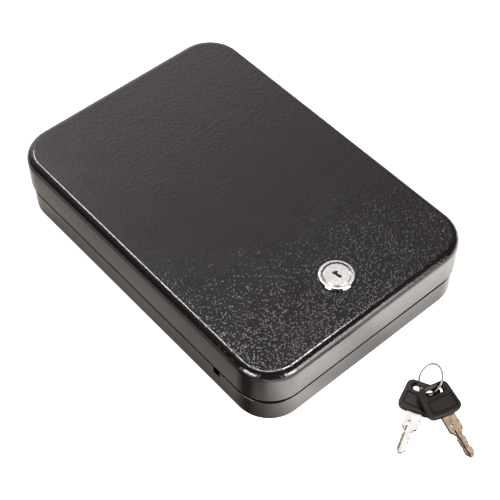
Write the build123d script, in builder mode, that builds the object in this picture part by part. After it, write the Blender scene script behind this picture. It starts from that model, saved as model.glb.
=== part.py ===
from build123d import *
import math
import os

os.makedirs("parts", exist_ok=True)

# All sizes are in millimetres. The origin is the centre of the underside, on the table.
# X runs across the box, Y from the lock end (-Y) to the hinge end (+Y), Z up.

# Box
width = 165.0
length = 240.0
height = 45.0
sheet = 1.2
corner_radius = 24.0
lid_edge_radius = 5.0
base_edge_radius = 2.0
rim_height = 21.5
telescope = 5.0
lid_overhang = 1.2
rim_step = 1.2
seam_gap = 4.5
shoulder_radius = 0.4

# Cable notch in the left wall of the base
notch_setback = 43.4
notch_width = 5.5
notch_floor = 12.0
notch_corner = 0.8

# Foam liners
foam_thickness = 5.0
base_foam_gap = 1.0
lid_foam_gap = 5.0
foam_edge_radius = 1.0
foam_lock_gap = 2.8

# Piano hinge across the back
knuckle_count = 9
knuckle_gap = 0.3
leaf_thickness = 1.0
leaf_height = 12.0
pin_radius = 1.0
pin_clearance = 0.05
barrel_gap = 0.35

# Cam lock in the lid
lock_setback = 32.0
lock_angle = 10.0
bezel_radius = 11.1
bezel_height = 1.9
bezel_edge_radius = 1.2
bezel_land = 0.7
housing_radius = 9.0
housing_flats = 15.6
housing_depth = 20.0
hole_clearance = 0.15
nut_flats = 23.0
nut_thickness = 3.0
plug_head_radius = 8.0
plug_head_thickness = 1.0
plug_head_groove = 0.3
plug_radius = 6.0
turning_clearance = 0.05
end_clearance = 0.1
keyway_side_clearance = 0.1
keyway_edge_clearance = 0.4
keyway_end_clearance = 0.2
keyway_barb_width = 1.2
keyway_barb_length = 1.4
wafer_count = 5
wafer_pitch = 2.6
wafer_thickness = 1.0
wafer_width = 5.0
wafer_clearance = 0.1
first_wafer = 4.0
square_size = 6.9
square_clearance = 0.05
stop_washer_radius = 8.2
stop_washer_thickness = 0.8
stop_lug_height = 1.6
stop_lug_width = 2.4
stop_lug_thickness = 1.2
stop_notch_depth = 2.0
stop_slack_angle = 2.0
key_turn_angle = 90.0
cam_thickness = 1.6
cam_reach = 26.0
cam_root_radius = 8.0
cam_tip_radius = 5.5
screw_radius = 2.5
screw_head_radius = 4.5
screw_head_height = 2.2
screw_length = 5.0
spring_washer_thickness = 0.8
spring_washer_radius = 4.6
driver_slot_width = 1.0
driver_slot_depth = 1.1

# Catch bracket, whose leg is welded inside the base's rim
catch_width = 34.0
catch_reach = 12.0
catch_thickness = 1.5
catch_bend_radius = 2.0
catch_clearance = 1.0

# Keys, each drawn with its ring slot at the origin and its blade along +X
bow_length = 19.8
bow_ring_end_width = 19.5
bow_wide_width = 22.0
bow_thickness = 4.4
bow_corner_radius = 3.8
bow_bulge = 1.1
bow_edge_radius = 0.9
bow_rim = 2.0
bow_panel_depth = 0.5
bow_pad_height = 0.3
bow_pad_inset = 1.3
slot_setback = 4.3
slot_length = 12.0
slot_width = 4.0
slot_chamfer = 1.3
slot_land = 1.0
blade_thickness = 1.6
blade_width = 5.2
blade_length = 15.8
tang_length = 8.0
tang_clearance = 0.05
neck_width = 8.6
neck_length = 10.8
neck_corner = 1.6
neck_hole_radius = 0.7
neck_hole_setback = 4.4
neck_hole_offset = 1.0
tip_width = 1.8
tip_length = 2.6
groove_width = 1.1
groove_depth = 0.5
groove_offset = 1.5
cut_flat = 1.6
cut_slope_angle = 45.0
# Distance along the blade, depth on the left edge, depth on the right edge
key_cuts = ((2.4, 0.7, 0.7), (6.2, 0.3, 0.2), (9.2, 0.8, 0.4))

# Places of the loose keys and their ring on the table, beyond the front of the box
ring_radius = 8.78
ring_wire_radius = 0.55
table_gap = 0.05
ring_place = (10.77, -36.85)
ring_lean_angle = 48.8
ring_heading_angle = 149.9
key_1_place = (3.8, -38.1)
key_1_rise = 1.3
key_1_heading_angle = -153.6
key_1_nose_angle = 3.35
key_1_roll_angle = 0.0
key_2_place = (4.9, -44.7)
key_2_rise = 2.0
key_2_heading_angle = -104.4
key_2_nose_angle = 10.1
key_2_roll_angle = 6.3

# Sizes that follow from the ones above
base_top = rim_height + telescope
shoulder = rim_height - seam_gap
rim_inset = lid_overhang + rim_step
hinge_length = width - 2 * corner_radius
knuckle_pitch = hinge_length / knuckle_count
knuckle_length = knuckle_pitch - knuckle_gap
bore_radius = pin_radius + pin_clearance
barrel_radius = bore_radius + leaf_thickness
barrel_room = barrel_radius + barrel_gap
hinge_y = length / 2 - sheet + bore_radius
hinge_z = rim_height
lock_y = -length / 2 + lock_setback
panel_underside = height - sheet
housing_end = height - housing_depth
plug_top = height + bezel_height
plug_end = housing_end - 2 * end_clearance
keyway_width = blade_thickness + 2 * keyway_side_clearance
keyway_length = blade_width + 2 * keyway_edge_clearance
keyway_depth = blade_length + keyway_end_clearance
stop_washer_bottom = plug_end - stop_washer_thickness
cam_bottom = stop_washer_bottom - cam_thickness
spring_washer_bottom = cam_bottom - spring_washer_thickness
screw_top = plug_end + screw_length - stop_washer_thickness - cam_thickness
wafer_slot_thickness = wafer_thickness + 2 * wafer_clearance
catch_top = stop_washer_bottom + catch_clearance + catch_thickness
catch_height = catch_top - shoulder + sheet
rim_front = -length / 2 + rim_inset + sheet
bow_end = bow_length - slot_setback
neck_end = bow_end + neck_length
tip_end = neck_end + blade_length


def lock_plane(level):
    """Level plane at the lock, turned with it."""
    turn = math.radians(lock_angle)
    return Plane(origin=(0, lock_y, level), x_dir=(math.cos(turn), math.sin(turn), 0), z_dir=(0, 0, 1))


def lock_section(angle):
    """Upright plane through the lock's axis, its X pointing out at this angle from the lock's X."""
    turn = math.radians(lock_angle + angle)
    outward = (math.cos(turn), math.sin(turn), 0)
    return Plane(origin=(0, lock_y, 0), x_dir=outward, z_dir=(math.sin(turn), -math.cos(turn), 0))


lock_axis = Axis((0, lock_y, 0), (0, 0, 1))


def double_d(radius, flats):
    """Circle with two flats, as the threaded barrel and its hole have."""
    Circle(radius)
    Rectangle(flats, 3 * radius, mode=Mode.INTERSECT)


def inset_outline(inset):
    """Plan of the box, drawn in by the inset, with the corners drawn in too."""
    RectangleRounded(width - 2 * inset, length - 2 * inset, corner_radius - inset)


# Base: a drawn steel tray whose rim is stepped in to go up inside the lid, cut down behind for the hinge
with BuildPart() as base_shell:
    with BuildSketch():
        inset_outline(lid_overhang)
    extrude(amount=shoulder)
    fillet(base_shell.faces().sort_by(Axis.Z)[0].edges(), base_edge_radius)
    fillet(base_shell.faces().sort_by(Axis.Z)[-1].edges(), shoulder_radius)
    with BuildSketch(Plane.XY.offset(sheet)):
        inset_outline(rim_inset)
    extrude(amount=base_top - sheet)
    with BuildPart(mode=Mode.PRIVATE) as tray_room:
        with BuildSketch(Plane.XY.offset(sheet)):
            inset_outline(lid_overhang + sheet)
        extrude(amount=shoulder - 2 * sheet)
        fillet(tray_room.faces().sort_by(Axis.Z)[0].edges(), base_edge_radius - sheet)
        with BuildSketch(Plane.XY.offset(sheet)):
            inset_outline(rim_inset + sheet)
        extrude(amount=base_top)
    add(tray_room.part, mode=Mode.SUBTRACT)
    with BuildSketch(Plane.XY.offset(hinge_z - barrel_room)):
        with Locations((0, length / 2 - rim_inset)):
            Rectangle(hinge_length + 2 * barrel_gap, 4 * sheet)
    extrude(amount=height, mode=Mode.SUBTRACT)
    with BuildSketch(Plane.YZ.offset(-width / 2)) as notch:
        with Locations((-length / 2 + notch_setback, notch_floor)):
            Rectangle(notch_width, height, align=(Align.CENTER, Align.MIN))
        fillet(notch.vertices().group_by(Axis.Y)[0], notch_corner)
    extrude(amount=4 * sheet, mode=Mode.SUBTRACT)
base_shell.part.label = "base_shell"
export_step(base_shell.part, "parts/base_shell.step")

# Lid: a drawn steel pan, open below, with the double-D hole for the lock
with BuildPart() as lid_shell:
    with BuildSketch(Plane.XY.offset(rim_height)):
        inset_outline(0)
    extrude(amount=height - rim_height)
    fillet(lid_shell.faces().sort_by(Axis.Z)[-1].edges(), lid_edge_radius)
    offset(amount=-sheet, openings=lid_shell.faces().sort_by(Axis.Z)[0])
    with BuildSketch(Plane.XY.offset(hinge_z - barrel_room)):
        with Locations((0, length / 2)):
            Rectangle(hinge_length + 2 * barrel_gap, 4 * sheet)
    extrude(amount=2 * barrel_room, mode=Mode.SUBTRACT)
    with BuildSketch(lock_plane(panel_underside - sheet)):
        double_d(housing_radius + hole_clearance, housing_flats + 2 * hole_clearance)
    extrude(amount=3 * sheet, mode=Mode.SUBTRACT)
lid_shell.part.label = "lid_shell"
export_step(lid_shell.part, "parts/lid_shell.step")

# Foam liner of the base
with BuildPart() as base_foam:
    with BuildSketch(Plane.XY.offset(sheet)):
        inset_outline(lid_overhang + sheet + base_foam_gap)
    extrude(amount=foam_thickness)
    fillet(base_foam.faces().sort_by(Axis.Z)[-1].edges(), foam_edge_radius)
base_foam.part.label = "base_foam"
export_step(base_foam.part, "parts/base_foam.step")

# Foam liner of the lid, with a round hole for the lock and its nut
nut_corner_radius = nut_flats / 2 / math.cos(math.radians(30))
with BuildPart() as lid_foam:
    with BuildSketch(Plane.XY.offset(panel_underside - foam_thickness)):
        inset_outline(sheet + lid_foam_gap)
        with Locations((0, lock_y)):
            Circle(nut_corner_radius + foam_lock_gap, mode=Mode.SUBTRACT)
    extrude(amount=foam_thickness)
    lower_rim = lid_foam.faces().sort_by(Axis.Z)[0].outer_wire().edges()
    fillet(lower_rim, foam_edge_radius)
lid_foam.part.label = "lid_foam"
export_step(lid_foam.part, "parts/lid_foam.step")


def knuckle_starts(first):
    """Left ends of every other knuckle, counted from the hinge's left end."""
    left = -hinge_length / 2 + knuckle_gap / 2
    return [left + i * knuckle_pitch for i in range(first, knuckle_count, 2)]


# Lid leaf of the hinge: welded inside the lid's back wall, its knuckles rolled round the pin
with BuildPart() as hinge_lid_leaf:
    with BuildSketch(Plane.YZ.offset(-hinge_length / 2)):
        with Locations((hinge_y - barrel_radius, hinge_z + barrel_room)):
            Rectangle(leaf_thickness, leaf_height - barrel_room, align=(Align.MIN, Align.MIN))
    extrude(amount=hinge_length)
    for start in knuckle_starts(1):
        with BuildSketch(Plane.YZ.offset(start)):
            with Locations((hinge_y, hinge_z)):
                Circle(barrel_radius)
            with Locations((hinge_y - barrel_radius, hinge_z)):
                Rectangle(leaf_thickness, leaf_height, align=(Align.MIN, Align.MIN))
            with Locations((hinge_y, hinge_z)):
                Circle(bore_radius, mode=Mode.SUBTRACT)
        extrude(amount=knuckle_length)
hinge_lid_leaf.part.label = "hinge_lid_leaf"
export_step(hinge_lid_leaf.part, "parts/hinge_lid_leaf.step")

# Base leaf of the hinge: welded on the base's back wall, in the step below the lid's rim
base_back = length / 2 - lid_overhang
with BuildPart() as hinge_base_leaf:
    with BuildSketch(Plane.YZ.offset(-hinge_length / 2)):
        with Locations((base_back, hinge_z - barrel_room)):
            Rectangle(leaf_thickness, leaf_height - barrel_room, align=(Align.MIN, Align.MAX))
    extrude(amount=hinge_length)
    for start in knuckle_starts(0):
        with BuildSketch(Plane.YZ.offset(start)):
            with Locations((hinge_y, hinge_z)):
                Circle(barrel_radius)
            with Locations((base_back, hinge_z - bore_radius)):
                Rectangle(leaf_thickness, leaf_height - bore_radius, align=(Align.MIN, Align.MAX))
            with Locations((hinge_y, hinge_z)):
                Circle(bore_radius, mode=Mode.SUBTRACT)
        extrude(amount=knuckle_length)
hinge_base_leaf.part.label = "hinge_base_leaf"
export_step(hinge_base_leaf.part, "parts/hinge_base_leaf.step")

# Hinge pin, as long as the hinge
with BuildPart() as hinge_pin:
    with BuildSketch(Plane.YZ.offset(-hinge_length / 2)):
        with Locations((hinge_y, hinge_z)):
            Circle(pin_radius)
    extrude(amount=hinge_length)
hinge_pin.part.label = "hinge_pin"
export_step(hinge_pin.part, "parts/hinge_pin.step")

# Catch: an angle bracket welded inside the base's front wall, with the plate that the cam hooks under
with BuildPart() as latch_catch:
    with BuildSketch(Plane.YZ.offset(-catch_width / 2)) as catch_profile:
        with Locations((rim_front, catch_top)):
            Rectangle(catch_thickness, catch_height, align=(Align.MIN, Align.MAX))
            Rectangle(catch_reach, catch_thickness, align=(Align.MIN, Align.MAX))
        corners = catch_profile.vertices().group_by(Axis.X)
        fillet(corners[0].sort_by(Axis.Y)[-1], catch_bend_radius)
        fillet(corners[1].sort_by(Axis.Y)[-1], catch_bend_radius - catch_thickness)
    extrude(amount=catch_width)
    plate_corners = latch_catch.edges().filter_by(Axis.Z).group_by(Axis.Y)[-1]
    fillet(plate_corners, 2 * catch_thickness)
latch_catch.part.label = "latch_catch"
export_step(latch_catch.part, "parts/latch_catch.step")

# Lock housing: rounded bezel over a threaded barrel with two flats, bored for the plug
recess_radius = plug_head_radius + plug_head_groove
recess_floor = plug_top - plug_head_thickness - end_clearance
with BuildPart() as lock_housing:
    with BuildSketch(lock_section(0)) as bezel_profile:
        with BuildLine():
            Polyline(
                (0, height),
                (bezel_radius, height),
                (bezel_radius, plug_top),
                (recess_radius + bezel_land, plug_top),
                (recess_radius, plug_top - bezel_land / 2),
                (recess_radius, recess_floor),
                (0, recess_floor),
                close=True,
            )
        make_face()
        rim_corner = bezel_profile.vertices().group_by(Axis.X)[-1].sort_by(Axis.Y)[-1]
        fillet(rim_corner, bezel_edge_radius)
    revolve(axis=lock_axis)
    with BuildSketch(lock_plane(housing_end)):
        double_d(housing_radius, housing_flats)
    extrude(amount=housing_depth)
    with BuildSketch(lock_plane(housing_end)):
        Circle(plug_radius + turning_clearance)
    extrude(amount=2 * housing_depth, mode=Mode.SUBTRACT)
    # Notch in the barrel's end, in which the stop washer's lug travels
    lug_half_angle = math.degrees(math.atan2(stop_lug_width / 2, plug_radius + turning_clearance))
    notch_half_room = lug_half_angle + stop_slack_angle
    with BuildSketch(lock_section(notch_half_room)):
        with Locations((plug_radius, housing_end)):
            Rectangle(housing_radius, stop_notch_depth, align=(Align.MIN, Align.MIN))
    revolve(axis=lock_axis, revolution_arc=-(key_turn_angle + 2 * notch_half_room), mode=Mode.SUBTRACT)
lock_housing.part.label = "lock_housing"
export_step(lock_housing.part, "parts/lock_housing.step")

# Hexagon nut that clamps the housing to the lid
with BuildPart() as lock_nut:
    with BuildSketch(lock_plane(panel_underside - nut_thickness)):
        RegularPolygon(nut_flats / 2, 6, major_radius=False)
        Circle(housing_radius + turning_clearance, mode=Mode.SUBTRACT)
    extrude(amount=nut_thickness)
lock_nut.part.label = "lock_nut"
export_step(lock_nut.part, "parts/lock_nut.step")

# Lock plug: head with the keyway in its face, round body with the wafer slots, square end for the cam
wafer_levels = [plug_top - first_wafer - i * wafer_pitch for i in range(wafer_count)]
with BuildPart() as lock_plug:
    with BuildSketch(lock_plane(plug_end)):
        Circle(plug_radius)
    extrude(amount=plug_top - plug_end)
    with BuildSketch(lock_plane(plug_top - plug_head_thickness)):
        Circle(plug_head_radius)
    extrude(amount=plug_head_thickness)
    chamfer(lock_plug.faces().sort_by(Axis.Z)[-1].edges(), plug_head_groove)
    with BuildSketch(lock_plane(cam_bottom + end_clearance)):
        Rectangle(square_size, square_size)
    extrude(amount=plug_end - cam_bottom)
    with BuildSketch(lock_plane(plug_top)):
        Rectangle(keyway_width, keyway_length)
        with Locations((keyway_width / 2, keyway_length / 4)):
            Rectangle(2 * keyway_barb_width, keyway_barb_length)
    extrude(amount=-keyway_depth, mode=Mode.SUBTRACT)
    for level in wafer_levels:
        with BuildSketch(lock_plane(level)):
            Rectangle(wafer_width + 2 * wafer_clearance, 3 * plug_radius)
        extrude(amount=-wafer_slot_thickness, mode=Mode.SUBTRACT)
    with BuildSketch(lock_plane(cam_bottom)):
        Circle(screw_radius + turning_clearance)
    extrude(amount=screw_top + end_clearance - cam_bottom, mode=Mode.SUBTRACT)
lock_plug.part.label = "lock_plug"
export_step(lock_plug.part, "parts/lock_plug.step")

# Wafers: flat brass plates across the plug, each with a window for the key's blade
with BuildPart() as lock_wafers:
    for level in wafer_levels:
        with BuildSketch(lock_plane(level - wafer_clearance)):
            Circle(plug_radius - wafer_clearance)
            Rectangle(wafer_width, 3 * plug_radius, mode=Mode.INTERSECT)
            Rectangle(blade_thickness + 2 * wafer_clearance, keyway_length, mode=Mode.SUBTRACT)
        extrude(amount=-wafer_thickness)
lock_wafers.part.label = "lock_wafers"
export_step(lock_wafers.part, "parts/lock_wafers.step")

square_hole = square_size + 2 * square_clearance

# Stop washer on the plug's square, with a lug turned up into the housing's notch
with BuildPart() as stop_washer:
    with BuildSketch(lock_plane(stop_washer_bottom)):
        Circle(stop_washer_radius)
        Rectangle(square_hole, square_hole, mode=Mode.SUBTRACT)
    extrude(amount=stop_washer_thickness)
    with BuildSketch(lock_plane(plug_end)):
        with Locations((plug_radius + 2 * turning_clearance, 0)):
            Rectangle(stop_lug_thickness, stop_lug_width, align=(Align.MIN, Align.CENTER))
    extrude(amount=stop_lug_height)
stop_washer.part.label = "stop_washer"
export_step(stop_washer.part, "parts/stop_washer.step")

# Cam: a flat steel tongue that tapers from the plug's square to its hooking end
with BuildPart() as cam:
    with BuildSketch(lock_plane(cam_bottom)):
        Circle(cam_root_radius)
        with Locations((cam_reach - cam_tip_radius, 0)):
            Circle(cam_tip_radius)
        make_hull()
        Rectangle(square_hole, square_hole, mode=Mode.SUBTRACT)
    extrude(amount=cam_thickness)
cam.part.label = "cam"
export_step(cam.part, "parts/cam.step")

# Spring washer under the screw's head
with BuildPart() as cam_washer:
    with BuildSketch(lock_plane(spring_washer_bottom)):
        Circle(spring_washer_radius)
        Circle(screw_radius + end_clearance, mode=Mode.SUBTRACT)
    extrude(amount=spring_washer_thickness)
cam_washer.part.label = "cam_washer"
export_step(cam_washer.part, "parts/cam_washer.step")

# Cam screw: domed slotted head and a shank that goes up into the plug
with BuildPart() as cam_screw:
    with BuildSketch(lock_plane(spring_washer_bottom)):
        Circle(screw_head_radius)
    extrude(amount=-screw_head_height)
    fillet(cam_screw.faces().sort_by(Axis.Z)[0].edges(), screw_head_height / 2)
    with BuildSketch(lock_plane(spring_washer_bottom - screw_head_height)):
        Rectangle(3 * screw_head_radius, driver_slot_width)
    extrude(amount=driver_slot_depth, mode=Mode.SUBTRACT)
    with BuildSketch(lock_plane(spring_washer_bottom)):
        Circle(screw_radius)
    extrude(amount=screw_top - spring_washer_bottom)
cam_screw.part.label = "cam_screw"
export_step(cam_screw.part, "parts/cam_screw.step")


def table_plane(place, level, heading, pitch, roll):
    """Plane of a loose piece: its place from the box's front, heading, nose-down pitch, roll to the left."""
    turn, nose, tilt = (math.radians(angle) for angle in (heading, pitch, roll))
    forward = Vector(math.cos(turn) * math.cos(nose), math.sin(turn) * math.cos(nose), -math.sin(nose))
    left = Vector(-math.sin(turn), math.cos(turn), 0)
    up = forward.cross(left) * math.cos(tilt) + left * math.sin(tilt)
    return Plane(origin=(place[0], -length / 2 + place[1], level), x_dir=forward, z_dir=up)


key_1_level = bow_thickness / 2 + key_1_rise
key_2_level = bow_thickness + bow_thickness / 2 + key_2_rise
key_1_plane = table_plane(
    key_1_place, key_1_level, key_1_heading_angle, key_1_nose_angle, key_1_roll_angle
)
key_2_plane = table_plane(
    key_2_place, key_2_level, key_2_heading_angle, key_2_nose_angle, key_2_roll_angle
)


def bow_outline():
    """Plan of the moulded head: narrow at the ring, wide and gently bowed at the blade."""
    with BuildLine() as outline:
        ring_side = Line((-slot_setback, bow_ring_end_width / 2), (-slot_setback, -bow_ring_end_width / 2))
        lower_side = Line(ring_side @ 1, (bow_end - bow_bulge, -bow_wide_width / 2))
        wide_side = ThreePointArc(lower_side @ 1, (bow_end, 0), (bow_end - bow_bulge, bow_wide_width / 2))
        Line(wide_side @ 1, ring_side @ 0)
    make_face(outline.edges())


def panel_outline(sketch):
    """Panel of the head's face: inside the rim, between the slot and the wide end."""
    bow_outline()
    fillet(sketch.vertices(), bow_corner_radius)
    offset(amount=-bow_rim, mode=Mode.REPLACE)
    with Locations((slot_width / 2 + slot_chamfer + slot_land, 0)):
        Rectangle(bow_length, 2 * bow_wide_width, align=(Align.MAX, Align.CENTER), mode=Mode.SUBTRACT)


def key_bow(plane):
    """Moulded head of a key: ring slot, sunk panel and raised pad on both faces, pocket for the tang."""
    half = bow_thickness / 2
    with BuildPart() as bow:
        with BuildSketch(plane) as outline:
            bow_outline()
            fillet(outline.vertices(), bow_corner_radius)
        extrude(amount=half, both=True)
        broad_faces = bow.faces().filter_by(plane)
        fillet(broad_faces.edges(), bow_edge_radius)
        with BuildSketch(plane.offset(-bow_thickness)):
            SlotOverall(slot_length, slot_width, rotation=90)
        extrude(amount=2 * bow_thickness, mode=Mode.SUBTRACT)
        broad_faces = bow.faces().filter_by(plane)
        slot_edges = ShapeList(edge for face in broad_faces for edge in face.inner_wires()[0].edges())
        chamfer(slot_edges, slot_chamfer)
        for side in (1, -1):
            with BuildSketch(plane.offset(side * half)) as panel:
                panel_outline(panel)
            extrude(amount=-side * bow_panel_depth, mode=Mode.SUBTRACT)
            with BuildSketch(plane.offset(side * (half - bow_panel_depth))) as pad:
                panel_outline(pad)
                offset(amount=-bow_pad_inset, mode=Mode.REPLACE)
            extrude(amount=side * bow_pad_height)
        with BuildSketch(plane.offset(-blade_thickness / 2 - tang_clearance)):
            with Locations((bow_end - tang_length - tang_clearance, 0)):
                Rectangle(
                    bow_length, neck_width + 2 * tang_clearance, align=(Align.MIN, Align.CENTER)
                )
        extrude(amount=blade_thickness + 2 * tang_clearance, mode=Mode.SUBTRACT)
    return bow


def key_cut(middle, edge, depth):
    """One cut in the blade's edge: a flat floor with sloping sides."""
    run = depth / math.tan(math.radians(cut_slope_angle))
    floor = edge - math.copysign(depth, edge)
    Polygon(
        (middle - cut_flat / 2 - run, edge),
        (middle - cut_flat / 2, floor),
        (middle + cut_flat / 2, floor),
        (middle + cut_flat / 2 + run, edge),
        align=None,
        mode=Mode.SUBTRACT,
    )


def key_blade(plane):
    """Flat blade: tang in the head, wide neck, cut edges, a milled groove along each face, blunt point."""
    with BuildPart() as blade:
        with BuildSketch(plane.offset(-blade_thickness / 2)) as outline:
            with Locations((bow_end - tang_length, 0)):
                Rectangle(tang_length + neck_length, neck_width, align=(Align.MIN, Align.CENTER))
            fillet(outline.vertices().group_by(Axis.X)[-1], neck_corner)
            with BuildLine():
                Polyline(
                    (neck_end - neck_corner, blade_width / 2),
                    (tip_end - tip_length, blade_width / 2),
                    (tip_end, tip_width / 2),
                    (tip_end, -tip_width / 2),
                    (tip_end - tip_length, -blade_width / 2),
                    (neck_end - neck_corner, -blade_width / 2),
                    close=True,
                )
            make_face()
            for distance, left_depth, right_depth in key_cuts:
                key_cut(neck_end + distance, blade_width / 2, left_depth)
                key_cut(neck_end + distance, -blade_width / 2, right_depth)
            with Locations((neck_end - neck_hole_setback, -neck_hole_offset)):
                Circle(neck_hole_radius, mode=Mode.SUBTRACT)
        extrude(amount=blade_thickness)
        for side in (1, -1):
            with BuildSketch(plane.offset(side * (blade_thickness / 2 - groove_depth))):
                with Locations((neck_end - neck_corner, -side * groove_offset)):
                    Rectangle(2 * blade_length, groove_width, align=(Align.MIN, Align.CENTER))
            extrude(amount=side * groove_depth, mode=Mode.SUBTRACT)
    return blade


# Two keys: one flat on the ring and the table, the other lying across it
for key_name, plane in (("key_1", key_1_plane), ("key_2", key_2_plane)):
    bow = key_bow(plane)
    bow.part.label = key_name + "_bow"
    export_step(bow.part, "parts/" + key_name + "_bow.step")
    blade = key_blade(plane)
    blade.part.label = key_name + "_blade"
    export_step(blade.part, "parts/" + key_name + "_blade.step")

# Key ring: a closed ring of spring wire that leans through the slots of both heads
lean = math.radians(ring_lean_angle)
heading = math.radians(ring_heading_angle)
ring_plane = Plane(
    origin=(
        ring_place[0],
        -length / 2 + ring_place[1],
        ring_radius * math.sin(lean) + ring_wire_radius + table_gap,
    ),
    z_dir=(math.sin(lean) * math.cos(heading), math.sin(lean) * math.sin(heading), math.cos(lean)),
)
with BuildPart(ring_plane) as key_ring:
    Torus(ring_radius, ring_wire_radius)
key_ring.part.label = "key_ring"
export_step(key_ring.part, "parts/key_ring.step")
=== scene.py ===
import math

import bpy
from mathutils import Matrix, Vector


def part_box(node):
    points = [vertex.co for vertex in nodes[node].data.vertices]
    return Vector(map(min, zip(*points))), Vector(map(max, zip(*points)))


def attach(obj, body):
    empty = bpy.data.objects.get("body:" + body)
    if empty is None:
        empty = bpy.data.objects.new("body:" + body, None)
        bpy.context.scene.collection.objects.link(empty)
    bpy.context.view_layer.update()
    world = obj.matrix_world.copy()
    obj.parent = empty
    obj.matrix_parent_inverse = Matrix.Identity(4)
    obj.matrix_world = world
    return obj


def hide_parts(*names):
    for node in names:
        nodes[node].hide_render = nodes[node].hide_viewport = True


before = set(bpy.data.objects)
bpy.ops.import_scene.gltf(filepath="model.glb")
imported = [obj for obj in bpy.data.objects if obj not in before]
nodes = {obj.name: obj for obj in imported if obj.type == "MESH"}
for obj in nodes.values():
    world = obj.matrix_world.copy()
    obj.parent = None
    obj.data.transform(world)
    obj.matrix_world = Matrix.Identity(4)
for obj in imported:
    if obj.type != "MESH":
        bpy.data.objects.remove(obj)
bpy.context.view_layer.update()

# Base and lid: two deep-drawn trays of 1.2 mm cold-rolled steel, the lid's walls hanging over the base's rim.
# Both are powder coated in one pass before the hinge goes on: polyester powder, sprayed dry and baked.


def colour(code):
    """Linear colour with alpha from an sRGB hex value."""
    parts = [int(code[i:i + 2], 16) / 255 for i in (1, 3, 5)]
    return [c / 12.92 if c <= 0.04045 else ((c + 0.055) / 1.055) ** 2.4 for c in parts] + [1]


def add(tree, kind, settings=(), **inputs):
    """One shader node with its settings; each input, by name or i0, i1, takes a value or an output socket."""
    node = tree.nodes.new("ShaderNode" + kind)
    for key, value in dict(settings).items():
        setattr(node, key, value)
    for key, value in inputs.items():
        numbered = key[0] == "i" and key[1:].isdigit()
        socket = node.inputs[int(key[1:])] if numbered else node.inputs[key.replace("_", " ")]
        if isinstance(value, bpy.types.NodeSocket):
            tree.links.new(value, socket)
        else:
            socket.default_value = value
    return node


def material(name):
    """New material with an empty tree; returns both."""
    made = bpy.data.materials.new(name)
    made.use_nodes = True
    made.node_tree.nodes.clear()
    return made, made.node_tree


def dress(made, *names):
    """Puts the material on CAD nodes, in place of what they came with."""
    for name in names:
        nodes[name].data.materials.clear()
        nodes[name].data.materials.append(made)


# Black polyester powder coat: dark and glossy, with a leathery peel and small pimples that glint one by one.
# On the walls the coat flowed out almost smooth, so they mirror the table in a soft, even way.
coat, tree = material("black_powder_coat")
place = add(tree, "TexCoord").outputs["Object"]
# Low round pimples 0.9 mm apart, each of its own height, on waves of peel 2.3 mm apart. The peel shows most
# behind the middle and on the right, and less along the left rim. The pimples stand highest near the front,
# where the coat is thickest, and there are none at the back.
peel = add(tree, "TexNoise", Vector=place, Scale=430.0, Detail=2.0, Roughness=0.5)
spots = add(tree, "TexVoronoi", {"feature": "F1"}, Vector=place, Scale=1100.0)
dome = add(
    tree, "MapRange", {"interpolation_type": "SMOOTHSTEP"}, Value=spots.outputs["Distance"],
    From_Min=0.0, From_Max=0.55, To_Min=1.0, To_Max=0.0,
)
grown = add(tree, "SeparateXYZ", Vector=spots.outputs["Color"]).outputs["X"]
tall = add(tree, "MapRange", Value=grown, From_Min=0.15, From_Max=1.0, To_Min=0.1, To_Max=1.0)
spot = add(tree, "SeparateXYZ", Vector=place).outputs
thick = add(tree, "MapRange", Value=spot["Y"], From_Min=0.045, From_Max=-0.07, To_Min=0.0, To_Max=1.05)
back = add(tree, "MapRange", Value=spot["Y"], From_Min=0.04, From_Max=-0.05, To_Min=1.8, To_Max=0.03)
rim = add(tree, "MapRange", Value=spot["X"], From_Min=-0.035, From_Max=-0.075, To_Min=1.8, To_Max=0.8)
behind = add(tree, "Math", {"operation": "MINIMUM"}, i0=back.outputs[0], i1=rim.outputs[0])
right = add(tree, "MapRange", Value=spot["X"], From_Min=0.08, From_Max=-0.02, To_Min=1.5, To_Max=0.03)
waves = add(tree, "Math", {"operation": "MAXIMUM"}, i0=behind.outputs[0], i1=right.outputs[0])
risen = add(tree, "Math", {"operation": "MULTIPLY"}, i0=tall.outputs[0], i1=thick.outputs[0])
pimple = add(tree, "Math", {"operation": "MULTIPLY"}, i0=dome.outputs[0], i1=risen.outputs[0])
relief = add(
    tree, "Math", {"operation": "MULTIPLY_ADD"}, i0=peel.outputs["Fac"], i1=waves.outputs[0], i2=pimple.outputs[0],
)
# On the upright walls the relief is almost gone.
level = add(tree, "SeparateXYZ", Vector=add(tree, "TexCoord").outputs["Normal"]).outputs["Z"]
peeled = add(tree, "MapRange", Value=level, From_Min=0.02, From_Max=0.14, To_Min=0.05, To_Max=1.0)
bump = add(tree, "Bump", Height=relief.outputs[0], Strength=peeled.outputs[0], Distance=0.00008)
# Its tone and gloss drift a little, in clouds 22 mm wide.
cloud = add(tree, "TexNoise", Vector=place, Scale=45.0, Detail=3.0)
shade = add(tree, "ValToRGB", Fac=cloud.outputs["Fac"])
shade.color_ramp.elements[0].position = 0.3
shade.color_ramp.elements[0].color = colour("#140f10")
shade.color_ramp.elements[1].position = 0.7
shade.color_ramp.elements[1].color = colour("#181213")
rough = add(tree, "MapRange", Value=cloud.outputs["Fac"], From_Min=0.3, From_Max=0.7, To_Min=0.13, To_Max=0.17)
gloss = add(
    tree, "BsdfPrincipled", Base_Color=shade.outputs["Color"], Roughness=rough.outputs[0], IOR=1.5,
    Normal=bump.outputs[0], Coat_Weight=1.0, Coat_Roughness=0.06, Coat_IOR=1.5, Coat_Normal=bump.outputs[0],
)
add(tree, "OutputMaterial", Surface=gloss.outputs[0])
dress(coat, "base_shell", "lid_shell")

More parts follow.
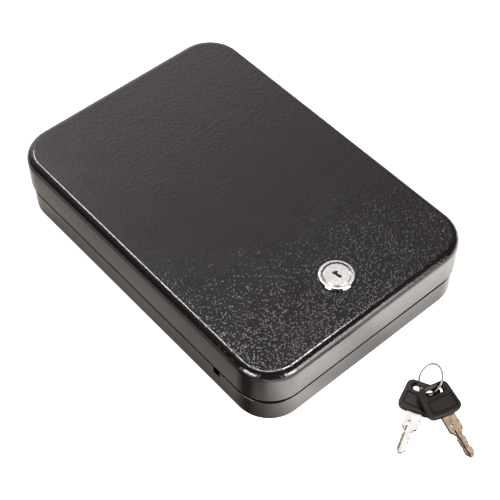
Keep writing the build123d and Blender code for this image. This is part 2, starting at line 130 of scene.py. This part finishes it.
# Catch: a strip of zinc-plated steel bent at a right angle and welded inside the base's rim, under the lock.
# The plating is clear passivated: pale grey with faint cool and warm clouds, and slightly grained. The lock's nut,
# stop washer and cam are plated the same way.
zinc, tree = material("zinc_plate")
place = add(tree, "TexCoord").outputs["Object"]
# The clouds are 5.6 mm wide. The grain of 0.4 mm is coarser than the real one, which is too fine to show.
cloud = add(tree, "TexNoise", Vector=place, Scale=180.0, Detail=4.0, Roughness=0.6)
shade = add(tree, "ValToRGB", Fac=cloud.outputs["Fac"])
shade.color_ramp.elements[0].position = 0.35
shade.color_ramp.elements[0].color = colour("#b4b9bf")
shade.color_ramp.elements[1].position = 0.65
shade.color_ramp.elements[1].color = colour("#cdccc4")
grain = add(tree, "TexNoise", Vector=place, Scale=2500.0, Detail=2.0)
rough = add(tree, "MapRange", Value=grain.outputs["Fac"], From_Min=0.3, From_Max=0.7, To_Min=0.3, To_Max=0.42)
bump = add(tree, "Bump", Height=grain.outputs["Fac"], Strength=0.25, Distance=0.00004)
plate = add(
    tree, "BsdfPrincipled", Base_Color=shade.outputs["Color"], Metallic=1.0, Roughness=rough.outputs[0],
    Normal=bump.outputs[0],
)
add(tree, "OutputMaterial", Surface=plate.outputs[0])
dress(zinc, "latch_catch", "lock_nut", "stop_washer", "cam")

# Foam pads: two sheets of 5 mm charcoal polyurethane foam, knife cut with rounded corners and glued flat
# to the tray's floor and the lid's underside, the upper one with a round hole that clears the lock.
foam, tree = material("open_cell_foam")
place = add(tree, "TexCoord").outputs["Object"]
# Open cells of 0.8 mm, drawn a little coarser than the real 0.5 mm so that they show, and faded in patches 17 mm
# wide. The cells' hollows are painted darker than their rims: painted shade.
cells = add(tree, "TexVoronoi", {"feature": "DISTANCE_TO_EDGE"}, Vector=place, Scale=1250.0)
cloud = add(tree, "TexNoise", Vector=place, Scale=60.0, Detail=4.0)
depth = add(tree, "MapRange", Value=cells.outputs["Distance"], From_Min=0.0, From_Max=0.25, To_Min=1.0, To_Max=0.0)
# Darker in the hollows of the cells: painted shade.
shade = add(tree, "ValToRGB", Fac=depth.outputs[0])
shade.color_ramp.elements[0].position = 0.0
shade.color_ramp.elements[0].color = colour("#26262a")
shade.color_ramp.elements[1].position = 1.0
shade.color_ramp.elements[1].color = colour("#45454b")
faded = add(tree, "MapRange", Value=cloud.outputs["Fac"], From_Min=0.3, From_Max=0.7, To_Min=0.85, To_Max=1.1)
toned = add(
    tree, "MixRGB", {"blend_type": "MULTIPLY"}, Fac=1.0, Color1=shade.outputs["Color"], Color2=faded.outputs[0],
)
bump = add(tree, "Bump", Height=depth.outputs[0], Strength=0.6, Distance=0.0004)
fluff = add(
    tree, "BsdfPrincipled", Base_Color=toned.outputs[0], Roughness=0.95, IOR=1.45, Normal=bump.outputs[0],
    Sheen_Weight=0.35, Sheen_Roughness=0.5,
)
add(tree, "OutputMaterial", Surface=fluff.outputs[0])


def modify(piece, kind, **settings):
    """Gives the piece a modifier with its settings and applies it."""
    modifier = piece.modifiers.new(kind.lower(), kind)
    for key, value in settings.items():
        setattr(modifier, key, value)
    bpy.context.view_layer.objects.active = piece
    bpy.ops.object.modifier_apply(modifier=modifier.name)


def pad(name, node, body, corner, upper, hole_place=None, hole_radius=None):
    """Cut foam sheet in the space of its CAD solid, with soft edges on the open side and slack in its face."""
    low, high = (Vector(c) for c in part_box(node))
    bpy.ops.object.select_all(action="DESELECT")
    bpy.ops.mesh.primitive_cube_add(size=1, location=(low + high) / 2)
    piece = bpy.context.object
    piece.name = name
    piece.scale = high - low
    bpy.ops.object.transform_apply(location=True, rotation=False, scale=True)
    bpy.ops.object.mode_set(mode="EDIT")
    bpy.ops.mesh.select_mode(type="EDGE")
    bpy.ops.mesh.select_all(action="DESELECT")
    bpy.ops.object.mode_set(mode="OBJECT")
    thickness = high.z - low.z
    points = piece.data.vertices
    for edge in piece.data.edges:
        a, b = (points[i].co for i in edge.vertices)
        edge.select = abs(a.z - b.z) > thickness / 2
    bpy.ops.object.mode_set(mode="EDIT")
    bpy.ops.mesh.bevel(offset=corner, segments=10, affect="EDGES")
    bpy.ops.mesh.select_all(action="SELECT")
    bpy.ops.mesh.normals_make_consistent(inside=False)
    bpy.ops.object.mode_set(mode="OBJECT")
    if hole_place:
        bpy.ops.object.select_all(action="DESELECT")
        bpy.ops.mesh.primitive_cylinder_add(
            vertices=96, radius=hole_radius, depth=6 * thickness, location=hole_place,
        )
        punch = bpy.context.object
        modify(piece, "BOOLEAN", operation="DIFFERENCE", object=punch)
        bpy.data.objects.remove(punch)
    modify(piece, "REMESH", mode="VOXEL", voxel_size=0.0016)
    modify(piece, "SMOOTH", factor=0.5, iterations=3)
    slack = bpy.data.textures.new(name + "_slack", "CLOUDS")
    slack.noise_scale = 0.03
    slack.noise_depth = 1
    modify(
        piece, "DISPLACE", texture=slack, texture_coords="LOCAL", direction="Z", strength=0.0009, mid_level=0.5,
    )
    # The glued face stays flat, and nothing rises beyond the sheet's thickness.
    glued = high.z if upper else low.z
    glue_depth = 0.0012
    for point in piece.data.vertices:
        if abs(point.co.z - glued) < glue_depth:
            point.co.z = glued
        point.co.z = min(max(point.co.z, low.z), high.z)
    bpy.ops.object.shade_smooth_by_angle(angle=math.radians(50))
    piece.data.materials.clear()
    piece.data.materials.append(foam)
    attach(piece, body)
    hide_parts(node)


# The lock stands on the box's middle line.
lock_y = -0.088
pad("base_pad", "base_foam", "base", corner=0.0202, upper=False)
pad(
    "lid_pad", "lid_foam", "lid", corner=0.0178, upper=True, hole_place=(0, lock_y, 0.0413), hole_radius=0.0161,
)

# Hinge: a piano hinge of two sheet steel leaves, one welded inside the lid and one on the base, whose knuckles are
# rolled round one wire that ends flush with them. The leaves are coated like the shells but thinner, so they are
# satin, with a faint peel 1.1 mm apart.
satin, tree = material("black_satin_coat")
place = add(tree, "TexCoord").outputs["Object"]
peel = add(tree, "TexNoise", Vector=place, Scale=900.0, Detail=2.0)
shade = add(tree, "ValToRGB", Fac=peel.outputs["Fac"])
shade.color_ramp.elements[0].position = 0.35
shade.color_ramp.elements[0].color = colour("#201e1e")
shade.color_ramp.elements[1].position = 0.65
shade.color_ramp.elements[1].color = colour("#292727")
rough = add(tree, "MapRange", Value=peel.outputs["Fac"], From_Min=0.3, From_Max=0.7, To_Min=0.33, To_Max=0.42)
bump = add(tree, "Bump", Height=peel.outputs["Fac"], Strength=0.35, Distance=0.00008)
paint = add(
    tree, "BsdfPrincipled", Base_Color=shade.outputs["Color"], Roughness=rough.outputs[0], IOR=1.5,
    Normal=bump.outputs[0],
)
add(tree, "OutputMaterial", Surface=paint.outputs[0])
dress(satin, "hinge_base_leaf", "hinge_lid_leaf")

# Pin: hard drawn steel wire with a bright zinc finish, which stays with the base while the lid's knuckles turn on
# it. Drawing leaves lines along it, here 17 mm long and 0.25 mm apart, because the real ones are too fine to show.
wire, tree = material("drawn_steel_wire")
place = add(tree, "TexCoord").outputs["Object"]
along = add(tree, "Mapping", Vector=place, Scale=(60.0, 4000.0, 4000.0))
lines = add(tree, "TexNoise", Vector=along.outputs[0], Scale=1.0, Detail=2.0)
rough = add(tree, "MapRange", Value=lines.outputs["Fac"], From_Min=0.3, From_Max=0.7, To_Min=0.18, To_Max=0.3)
bump = add(tree, "Bump", Height=lines.outputs["Fac"], Strength=0.3, Distance=0.00003)
steel = add(
    tree, "BsdfPrincipled", Base_Color=colour("#c8c9cb"), Metallic=1.0, Roughness=rough.outputs[0],
    Normal=bump.outputs[0],
)
add(tree, "OutputMaterial", Surface=steel.outputs[0])
dress(wire, "hinge_pin")

# Lock: a die-cast zinc housing whose bezel sits on the lid, clamped from below by a nut on its threaded barrel.
# Chromed: the rounding is polished and the flat ring inside it finely satined. The thread shows below the nut.
chrome, tree = material("bright_chrome")
place = add(tree, "TexCoord").outputs["Object"]
height = add(tree, "SeparateXYZ", Vector=place).outputs["Z"]
# A fine thread with a pitch of 1 mm; Wave's own period is 0.314 m at scale 1. It ends under the lid's panel.
thread = add(
    tree, "TexWave", {"wave_type": "BANDS", "bands_direction": "Z", "wave_profile": "TRI"}, Vector=place, Scale=314.0,
)
barrel = add(tree, "MapRange", Value=height, From_Min=0.0436, From_Max=0.0434, To_Min=0.0, To_Max=0.9)
ridges = add(tree, "Bump", Height=thread.outputs["Fac"], Strength=barrel.outputs[0], Distance=0.0004)
# The polish is a trace uneven, in patches 2 mm wide.
haze = add(tree, "TexNoise", Vector=place, Scale=500.0, Detail=2.0)
bump = add(tree, "Bump", Height=haze.outputs["Fac"], Strength=0.08, Distance=0.00005, Normal=ridges.outputs[0])
level = add(tree, "SeparateXYZ", Vector=add(tree, "TexCoord").outputs["Normal"]).outputs["Z"]
satin_ring = add(tree, "MapRange", Value=level, From_Min=0.94, From_Max=0.99, To_Min=0.08, To_Max=0.24)
rough = add(tree, "Math", {"operation": "MULTIPLY_ADD"}, i0=haze.outputs["Fac"], i1=0.06, i2=satin_ring.outputs[0])
mirror = add(
    tree, "BsdfPrincipled", Base_Color=colour("#e8e8e9"), Metallic=1.0, Roughness=rough.outputs[0],
    Normal=bump.outputs[0],
)
add(tree, "OutputMaterial", Surface=mirror.outputs[0])
dress(chrome, "lock_housing")

# Plug: turned from brass rod, cut through for the wafers and the key, and nickel plated. It turns in the housing,
# and its face keeps the fine rings of the lathe tool.
nickel, tree = material("satin_nickel")
place = add(tree, "TexCoord").outputs["Object"]
centred = add(tree, "Mapping", {"vector_type": "POINT"}, Vector=place, Location=(0.0, -lock_y, 0.0))
# Tool rings 0.15 mm apart: Wave's own period for rings is 0.314 m too.
rings = add(
    tree, "TexWave", {"wave_type": "RINGS", "rings_direction": "Z"}, Vector=centred.outputs[0], Scale=2100.0,
    Distortion=2.0, Detail=2.0,
)
rough = add(tree, "MapRange", Value=rings.outputs["Fac"], To_Min=0.24, To_Max=0.36)
bump = add(tree, "Bump", Height=rings.outputs["Fac"], Strength=0.12, Distance=0.00002)
face = add(
    tree, "BsdfPrincipled", Base_Color=colour("#e9e7e4"), Metallic=1.0, Roughness=rough.outputs[0],
    Normal=bump.outputs[0],
)
add(tree, "OutputMaterial", Surface=face.outputs[0])
dress(nickel, "lock_plug")

# Wafers: five flat plates stamped from brass sheet, one above the other in the plug's slots, each with a window
# for the key's blade. The bare brass is a warm yellow that dulls in patches 1.4 mm wide.
brass, tree = material("stamped_brass")
place = add(tree, "TexCoord").outputs["Object"]
cloud = add(tree, "TexNoise", Vector=place, Scale=700.0, Detail=3.0)
shade = add(tree, "ValToRGB", Fac=cloud.outputs["Fac"])
shade.color_ramp.elements[0].position = 0.35
shade.color_ramp.elements[0].color = colour("#b98f4a")
shade.color_ramp.elements[1].position = 0.65
shade.color_ramp.elements[1].color = colour("#d9b86f")
rough = add(tree, "MapRange", Value=cloud.outputs["Fac"], From_Min=0.3, From_Max=0.7, To_Min=0.28, To_Max=0.42)
yellow = add(tree, "BsdfPrincipled", Base_Color=shade.outputs["Color"], Metallic=1.0, Roughness=rough.outputs[0])
add(tree, "OutputMaterial", Surface=yellow.outputs[0])
dress(brass, "lock_wafers")

# Cam screw and its washer: a slotted screw with a domed head and a stamped ring, which hold the cam on the plug's
# square end. Both are steel with a plain bright zinc plating: smooth and pale, with a haze in patches 1.1 mm wide.
plated, tree = material("bright_plated_steel")
place = add(tree, "TexCoord").outputs["Object"]
haze = add(tree, "TexNoise", Vector=place, Scale=900.0, Detail=2.0)
rough = add(tree, "MapRange", Value=haze.outputs["Fac"], From_Min=0.3, From_Max=0.7, To_Min=0.22, To_Max=0.32)
bump = add(tree, "Bump", Height=haze.outputs["Fac"], Strength=0.1, Distance=0.00004)
bright = add(
    tree, "BsdfPrincipled", Base_Color=colour("#b9b8b7"), Metallic=1.0, Roughness=rough.outputs[0],
    Normal=bump.outputs[0],
)
add(tree, "OutputMaterial", Surface=bright.outputs[0])
dress(plated, "cam_washer", "cam_screw")

# Key ring: hard spring wire, bent round and closed, that leans through the slots of both keys' heads. Its nickel
# finish is thin and slightly dull, and rubbed in patches 0.7 mm wide.
spring, tree = material("spring_wire")
place = add(tree, "TexCoord").outputs["Object"]
rub = add(tree, "TexNoise", Vector=place, Scale=1500.0, Detail=2.0)
shade = add(tree, "ValToRGB", Fac=rub.outputs["Fac"])
shade.color_ramp.elements[0].position = 0.35
shade.color_ramp.elements[0].color = colour("#a09e9e")
shade.color_ramp.elements[1].position = 0.65
shade.color_ramp.elements[1].color = colour("#bcbaba")
rough = add(tree, "MapRange", Value=rub.outputs["Fac"], From_Min=0.3, From_Max=0.7, To_Min=0.42, To_Max=0.52)
hoop = add(tree, "BsdfPrincipled", Base_Color=shade.outputs["Color"], Metallic=1.0, Roughness=rough.outputs[0])
add(tree, "OutputMaterial", Surface=hoop.outputs[0])
dress(spring, "key_ring")

# Key blades: nickel-plated brass, sawn at the edges and milled on their flat sides. Handling has worn the
# second one to a dull brown, in patches 2.4 mm wide. Shade is painted on both: darker on the upright sides, and
# darker in the grooves and where the blades meet the bows, from ambient occlusion.
# Per blade: material, node, light and dark tones, edge (the colour painted on the sides as shade), roughness and
# metalness.
for name, node, light, dark, edge, polish, dulled in (
    ("milled_nickel", "key_1_blade", "#a3a09b", "#8c8984", "#46433f", 0.33, 1.0),
    ("worn_nickel", "key_2_blade", "#bca48f", "#846e5e", "#45362e", 0.45, 0.5),
):
    blade, tree = material(name)
    place = add(tree, "TexCoord").outputs
    wear = add(tree, "TexNoise", Vector=place["Object"], Scale=420.0, Detail=3.0)
    shade = add(tree, "ValToRGB", Fac=wear.outputs["Fac"])
    shade.color_ramp.elements[0].position = 0.35
    shade.color_ramp.elements[0].color = colour(dark)
    shade.color_ramp.elements[1].position = 0.6
    shade.color_ramp.elements[1].color = colour(light)
    level = add(tree, "SeparateXYZ", Vector=place["Normal"]).outputs["Z"]
    flat = add(tree, "MapRange", Value=level, From_Min=0.4, From_Max=0.9, To_Min=0.0, To_Max=1.0)
    # The upright sides take the edge colour: painted shade.
    sides_shaded = add(tree, "MixRGB", Fac=flat.outputs[0], Color1=colour(edge), Color2=shade.outputs["Color"])
    # Ambient occlusion darkens the grooves and where the blades meet the bows: painted shade.
    hollow = add(tree, "AmbientOcclusion", {"samples": 8}, Distance=0.0015)
    groove_shade = add(tree, "MapRange", Value=hollow.outputs["AO"], From_Min=0.73, From_Max=0.92, To_Min=0.1, To_Max=1.0)
    shaded_blade = add(
        tree, "MixRGB", {"blend_type": "MULTIPLY"}, Fac=1.0, Color1=sides_shaded.outputs[0], Color2=groove_shade.outputs[0],
    )
    rough = add(
        tree, "MapRange", Value=wear.outputs["Fac"], From_Min=0.3, From_Max=0.7, To_Min=polish - 0.05,
        To_Max=polish + 0.08,
    )
    bump = add(tree, "Bump", Height=wear.outputs["Fac"], Strength=0.2, Distance=0.00008)
    metal = add(
        tree, "BsdfPrincipled", Base_Color=shaded_blade.outputs[0], Metallic=dulled, Roughness=rough.outputs[0],
        Normal=bump.outputs[0],
    )
    add(tree, "OutputMaterial", Surface=metal.outputs[0])
    dress(blade, node)

# Key bows: black nylon moulded round the blades' heads, with a fine spark-eroded grain. Raised parts are
# polished by pockets and hands, while the grain in the recesses is as dull as it was moulded; ambient occlusion
# turns the sheen down in the recesses, which also paints shade there. The grain is drawn 0.45 mm wide, several
# times the real one, so that it shows.
nylon, tree = material("moulded_nylon")
place = add(tree, "TexCoord").outputs["Object"]
grain = add(tree, "TexNoise", Vector=place, Scale=2200.0, Detail=2.0)
shade = add(tree, "ValToRGB", Fac=grain.outputs["Fac"])
shade.color_ramp.elements[0].position = 0.35
shade.color_ramp.elements[0].color = colour("#150e0d")
shade.color_ramp.elements[1].position = 0.65
shade.color_ramp.elements[1].color = colour("#211a18")
rough = add(tree, "MapRange", Value=grain.outputs["Fac"], From_Min=0.3, From_Max=0.7, To_Min=0.44, To_Max=0.54)
bump = add(tree, "Bump", Height=grain.outputs["Fac"], Strength=0.35, Distance=0.00008)
# Ambient occlusion lowers the sheen in the recesses: dull grain and painted shade.
hollow = add(tree, "AmbientOcclusion", {"samples": 8}, Distance=0.003)
polish_and_shade = add(tree, "MapRange", Value=hollow.outputs["AO"], From_Min=0.6, From_Max=0.97, To_Min=0.05, To_Max=0.42)
moulded = add(
    tree, "BsdfPrincipled", Base_Color=shade.outputs["Color"], Roughness=rough.outputs[0], IOR=1.53,
    Specular_IOR_Level=polish_and_shade.outputs[0], Normal=bump.outputs[0],
)
add(tree, "OutputMaterial", Surface=moulded.outputs[0])
dress(nylon, "key_1_bow", "key_2_bow")

# Studio: the box stands on white paper. Softboxes high above it light the pimples' glints and the line along
# the lid's left edge and corner; low strips in front and on the left light the bright bands on its roundings.
# One more on the right lights the paper, and the walls around are dark but for the one behind.
bpy.ops.object.select_all(action="DESELECT")
bpy.ops.mesh.primitive_plane_add(size=8, location=(0, 0, -0.0001))
table = bpy.context.object
table.name = "table"
paper, tree = material("white_paper")
rays = add(tree, "LightPath").outputs
place = add(tree, "TexCoord").outputs["Object"]
across = add(tree, "SeparateXYZ", Vector=place).outputs
# The camera sees the paper white, but for the coat and the metal, light and shade are painted onto it as a room
# would light it. The front wall stands at Y -0.120 and the left one at X -0.0825; each mirrors only the first few
# centimetres next to it. In front, the paper is painted dimmer next to the wall, except at the wall's left end,
# and painted with the keys' shade.
near_front = add(tree, "MapRange", Value=across["Y"], From_Min=-0.119, From_Max=-0.136, To_Min=0.41, To_Max=0.85)
left_end = add(tree, "MapRange", Value=across["X"], From_Min=-0.024, From_Max=-0.060, To_Min=0.5, To_Max=0.9)
clear = add(tree, "Math", {"operation": "MAXIMUM"}, i0=near_front.outputs[0], i1=left_end.outputs[0])
into_shade = add(tree, "MapRange", Value=across["X"], From_Min=-0.020, From_Max=0.002, To_Min=1.0, To_Max=0.82)
out_of_shade = add(tree, "MapRange", Value=across["X"], From_Min=0.010, From_Max=0.026, To_Min=0.82, To_Max=1.0)
keys_shade = add(tree, "Math", {"operation": "MAXIMUM"}, i0=into_shade.outputs[0], i1=out_of_shade.outputs[0])
ahead = add(tree, "Math", {"operation": "MULTIPLY"}, i0=clear.outputs[0], i1=keys_shade.outputs[0])
# On the left it lies in painted shade: darker away from the wall and towards the front, and darkest in a wedge
# that opens off the corner.
off_wall = add(tree, "MapRange", Value=across["X"], From_Min=-0.088, From_Max=-0.104, To_Min=0.84, To_Max=0.37)
forward = add(tree, "MapRange", Value=across["Y"], From_Min=0.0, From_Max=-0.09, To_Min=1.0, To_Max=0.6)
shaded = add(tree, "Math", {"operation": "MULTIPLY"}, i0=off_wall.outputs[0], i1=forward.outputs[0])
skewed = add(tree, "Math", {"operation": "MULTIPLY_ADD"}, i0=across["X"], i1=0.5, i2=across["Y"])
into_wedge = add(tree, "MapRange", Value=skewed.outputs[0], From_Min=-0.129, From_Max=-0.141, To_Min=1.0, To_Max=0.2)
out_of_wedge = add(tree, "MapRange", Value=across["Y"], From_Min=-0.102, From_Max=-0.113, To_Min=0.2, To_Max=1.0)
wedge = add(tree, "Math", {"operation": "MAXIMUM"}, i0=into_wedge.outputs[0], i1=out_of_wedge.outputs[0])
beside = add(tree, "Math", {"operation": "MULTIPLY"}, i0=shaded.outputs[0], i1=wedge.outputs[0])
warm = add(tree, "MixRGB", {"blend_type": "MULTIPLY"}, Fac=1.0, Color1=beside.outputs[0], Color2=colour("#fff9f3"))
# The two meet on a slanting line off the front left corner.
slant = add(tree, "Math", {"operation": "MULTIPLY_ADD"}, i0=across["X"], i1=-0.6, i2=across["Y"])
front = add(tree, "MapRange", Value=slant.outputs[0], From_Min=-0.066, From_Max=-0.096, To_Min=0.0, To_Max=1.0)
shade = add(tree, "MixRGB", Fac=front.outputs[0], Color1=warm.outputs[0], Color2=ahead.outputs[0])
# Glossy rays see the paper with this painted shade; the camera sees it plain.
dim = add(tree, "MixRGB", Fac=rays["Is Glossy Ray"], Color1=(1, 1, 1, 1), Color2=shade.outputs[0])
# The paper glows for the camera, and, as painted light, in mirroring faces where it lies open to the lamps: in
# front of the box as far as the keys, and well behind it.
back = add(tree, "MapRange", Value=across["Y"], From_Min=0.18, From_Max=0.3, To_Min=0.0, To_Max=1.0)
before_keys = add(tree, "MapRange", Value=across["Y"], From_Min=-0.162, From_Max=-0.150, To_Min=0.0, To_Max=1.0)
open_front = add(tree, "Math", {"operation": "MULTIPLY"}, i0=front.outputs[0], i1=before_keys.outputs[0])
open_paper = add(tree, "Math", {"operation": "MAXIMUM"}, i0=open_front.outputs[0], i1=back.outputs[0])
mirrored = add(tree, "Math", {"operation": "MULTIPLY"}, i0=rays["Is Glossy Ray"], i1=open_paper.outputs[0])
white = add(tree, "Math", {"operation": "MAXIMUM"}, i0=rays["Is Camera Ray"], i1=mirrored.outputs[0])
pulp = add(tree, "MixRGB", {"blend_type": "MULTIPLY"}, Fac=1.0, Color1=dim.outputs[0], Color2=colour("#e6e2dd"))
lit = add(tree, "BsdfDiffuse", Color=pulp.outputs[0])
tint = add(tree, "MixRGB", {"blend_type": "MULTIPLY"}, Fac=1.0, Color1=dim.outputs[0], Color2=colour("#fffaf4"))
glow = add(tree, "Emission", Color=tint.outputs[0], Strength=0.95)
sheet = add(tree, "AddShader", i0=lit.outputs[0], i1=glow.outputs[0])
seen = add(tree, "MixShader", i0=white.outputs[0], i1=lit.outputs[0], i2=sheet.outputs[0])
add(tree, "OutputMaterial", Surface=seen.outputs[0])
table.data.materials.append(paper)


def softbox(name, place, target, width, height, power, mirrored=True):
    """Area lamp facing a target, sized in metres, powered in watts; glossy faces show it if it is mirrored."""
    lamp = bpy.data.lights.new(name, "AREA")
    lamp.shape = "RECTANGLE"
    lamp.size = width
    lamp.size_y = height
    lamp.energy = power
    holder = bpy.data.objects.new(name, lamp)
    holder.visible_glossy = mirrored
    bpy.context.collection.objects.link(holder)
    aim = (Vector(target) - Vector(place)).to_track_quat("-Z", "Y")
    holder.matrix_world = Matrix.Translation(place) @ aim.to_matrix().to_4x4()


lid_front = (0, -0.08, 0.045)
front_edge = (0, -0.12, 0.03)
corner_edge = (-0.08, -0.12, 0.03)
keys_end = (0, -0.15, 0)
softbox("softbox_high", (0.10, 0.52, 1.06), (0, 0, 0), width=0.09, height=0.90, power=3.5)
softbox("softbox_top", (0.374, 0.115, 1.10), lid_front, width=0.19, height=0.19, power=1.9)
softbox("softbox_corner", (0.16, 0.15, 1.19), lid_front, width=0.12, height=0.12, power=0.5)
softbox("softbox_right", (1.25, -0.45, 0.75), keys_end, width=0.9, height=0.9, power=26.0, mirrored=False)
softbox("strip_right", (0.24, -1.3, 0.45), front_edge, width=0.88, height=0.72, power=8.7)
softbox("strip_front", (0.08, -1.25, 0.44), front_edge, width=0.50, height=0.70, power=7.5)
softbox("strip_left", (-1.17, -0.16, 0.50), corner_edge, width=0.60, height=0.62, power=11.0)

world = bpy.data.worlds.new("studio")
bpy.context.scene.world = world
world.use_nodes = True
tree = world.node_tree
tree.nodes.clear()
towards = add(tree, "TexCoord").outputs["Generated"]
# The wall behind the box is the lightest, and fades upwards and round to the sides.
behind_box = (0.30, 0.86, 0.42)
facing = add(tree, "VectorMath", {"operation": "DOT_PRODUCT"}, i0=towards, i1=behind_box)
walls = add(tree, "ValToRGB", Fac=facing.outputs["Value"])
walls.color_ramp.elements[0].position = 0.5
walls.color_ramp.elements[0].color = (0.02, 0.018, 0.019, 1)
walls.color_ramp.elements[1].position = 0.97
walls.color_ramp.elements[1].color = (1, 0.95, 0.96, 1)
for stop, grey in ((0.65, 0.13), (0.79, 0.21), (0.84, 0.34), (0.89, 0.5), (0.93, 0.74)):
    walls.color_ramp.elements.new(stop).color = (grey, grey * 0.95, grey * 0.96, 1)
to_camera = add(tree, "LightPath").outputs["Is Camera Ray"]
room = add(tree, "MixRGB", Fac=to_camera, Color1=walls.outputs["Color"], Color2=(1, 1, 1, 1))
background = add(tree, "Background", Color=room.outputs[0], Strength=1.0)
add(tree, "OutputWorld", Surface=background.outputs[0])

# Camera: a short telephoto lens that looks down on the box over its front left corner.
# Its place and lens were solved from the outline, the seam and the corners of the real box.
camera_place = (-0.3241, -0.3898, 0.6225)
camera_right = Vector((0.7580, -0.6521, -0.0138)).normalized()
camera_forward = Vector((0.4037, 0.4856, -0.7754)).normalized()
camera_up = camera_right.cross(camera_forward)
lens = bpy.data.cameras.new("camera")
lens.lens = 91.45
lens.sensor_width = 36
lens.shift_x = 0.0253
lens.shift_y = -0.0269
lens.clip_start = 0.01
camera = bpy.data.objects.new("camera", lens)
bpy.context.collection.objects.link(camera)
turn = Matrix((camera_right, camera_up, -camera_forward)).transposed().to_4x4()
camera.matrix_world = Matrix.Translation(camera_place) @ turn
bpy.context.scene.camera = camera
bpy.context.scene.view_settings.view_transform = "Standard"
